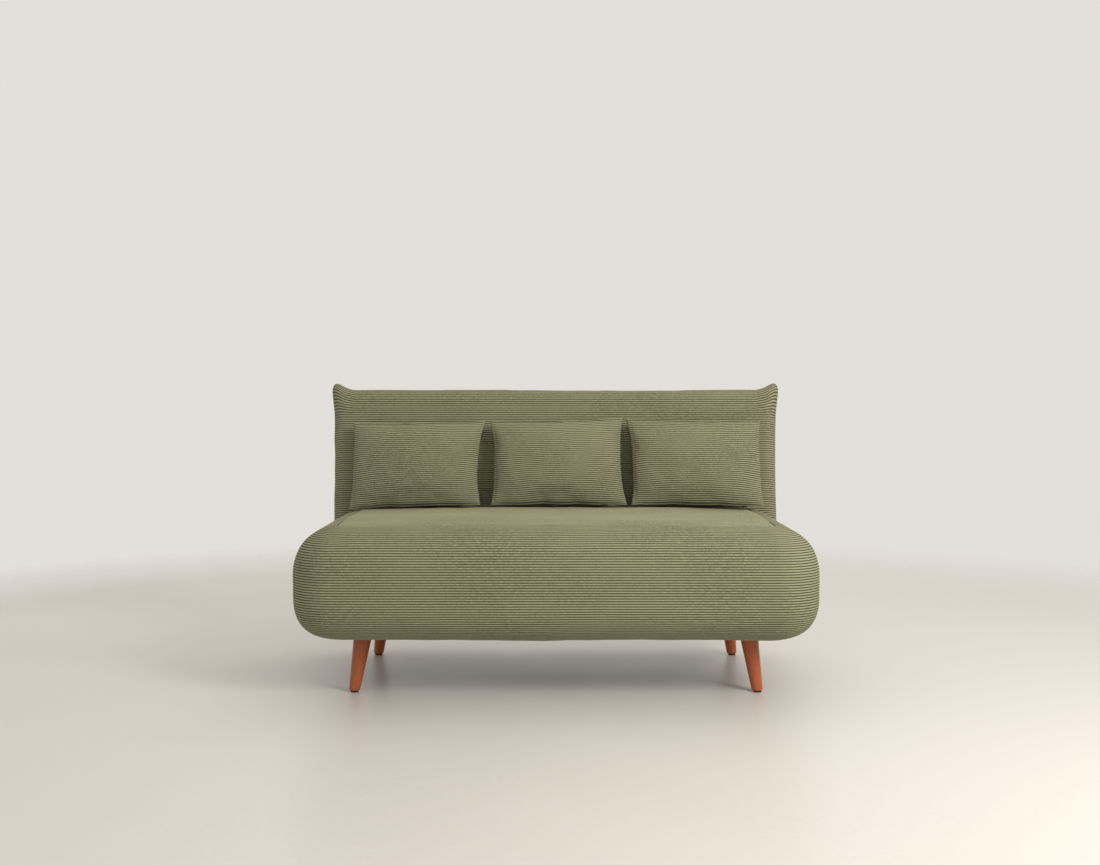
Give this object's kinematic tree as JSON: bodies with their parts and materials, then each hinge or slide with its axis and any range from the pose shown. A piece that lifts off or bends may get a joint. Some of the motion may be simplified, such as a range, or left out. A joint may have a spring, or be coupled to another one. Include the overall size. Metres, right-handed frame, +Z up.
{
  "type": "sofa with wooden legs",
  "caption": "Armless upholstered sofa with a rounded seat, an upright back with peaked corners, loose lumbar cushions and splayed turned wooden legs.",
  "frame": {"origin": "on the floor, under the middle of the whole sofa", "axes": "+X to the right as seen from the front, -Y the front, +Z up"},
  "size_m": [1.43, 0.8437, 0.8595],
  "materials": {
    "corduroy": "matte",
    "lacquered_wood": "satin",
    "frame_timber": "matte",
    "zinc_steel": "satin",
    "black_plastic": "satin",
    "foam": "matte",
    "felt": "matte",
    "webbing": "matte",
    "dust_cloth": "matte",
    "zip": "matte"
  },
  "bodies": {
    "sofa": {"back_bolt_1": "zinc_steel", "back_bolt_2": "zinc_steel", "back_bolt_3": "zinc_steel", "back_bolt_4": "zinc_steel", "back_center_post": "frame_timber", "back_cover": "corduroy", "back_foam": "foam", "back_left_post": "frame_timber", "back_lower_rail": "frame_timber", "back_right_post": "frame_timber", "back_top_rail": "frame_timber", "back_webbing_1": "webbing", "back_webbing_2": "webbing", "back_webbing_3": "webbing", "dust_cover": "dust_cloth", "leg_block_front_left": "frame_timber", "leg_block_front_right": "frame_timber", "leg_block_rear_left": "frame_timber", "leg_block_rear_right": "frame_timber", "leg_front_left": "lacquered_wood", "leg_front_right": "lacquered_wood", "leg_glide_front_left": "black_plastic", "leg_glide_front_right": "black_plastic", "leg_glide_rear_left": "black_plastic", "leg_glide_rear_right": "black_plastic", "leg_hanger_bolt_front_left": "zinc_steel", "leg_hanger_bolt_front_right": "zinc_steel", "leg_hanger_bolt_rear_left": "zinc_steel", "leg_hanger_bolt_rear_right": "zinc_steel", "leg_plate_front_left": "zinc_steel", "leg_plate_front_right": "zinc_steel", "leg_plate_rear_left": "zinc_steel", "leg_plate_rear_right": "zinc_steel", "leg_rear_left": "lacquered_wood", "leg_rear_right": "lacquered_wood", "seat_center_rail": "frame_timber", "seat_cover": "corduroy", "seat_foam": "foam", "seat_front_rail": "frame_timber", "seat_left_rail": "frame_timber", "seat_rear_rail": "frame_timber", "seat_right_rail": "frame_timber", "seat_spring_1": "zinc_steel", "seat_spring_2": "zinc_steel", "seat_spring_3": "zinc_steel", "seat_spring_4": "zinc_steel", "seat_spring_5": "zinc_steel", "spring_felt": "felt"},
    "cushion_left": {"cushion_cover_left": "corduroy", "cushion_filling_left": "foam", "cushion_zip_left": "zip"},
    "cushion_middle": {"cushion_cover_middle": "corduroy", "cushion_filling_middle": "foam", "cushion_zip_middle": "zip"},
    "cushion_right": {"cushion_cover_right": "corduroy", "cushion_filling_right": "foam", "cushion_zip_right": "zip"}
  },
  "joints": [
    {"name": "cushion_left_lift", "type": "slide", "parent": "sofa", "child": "cushion_left", "axis": [0, 0, 1], "range_m": [0, 0.42]},
    {"name": "cushion_middle_lift", "type": "slide", "parent": "sofa", "child": "cushion_middle", "axis": [0, 0, 1], "range_m": [0, 0.42]},
    {"name": "cushion_right_lift", "type": "slide", "parent": "sofa", "child": "cushion_right", "axis": [0, 0, 1], "range_m": [0, 0.42]}
  ]
}
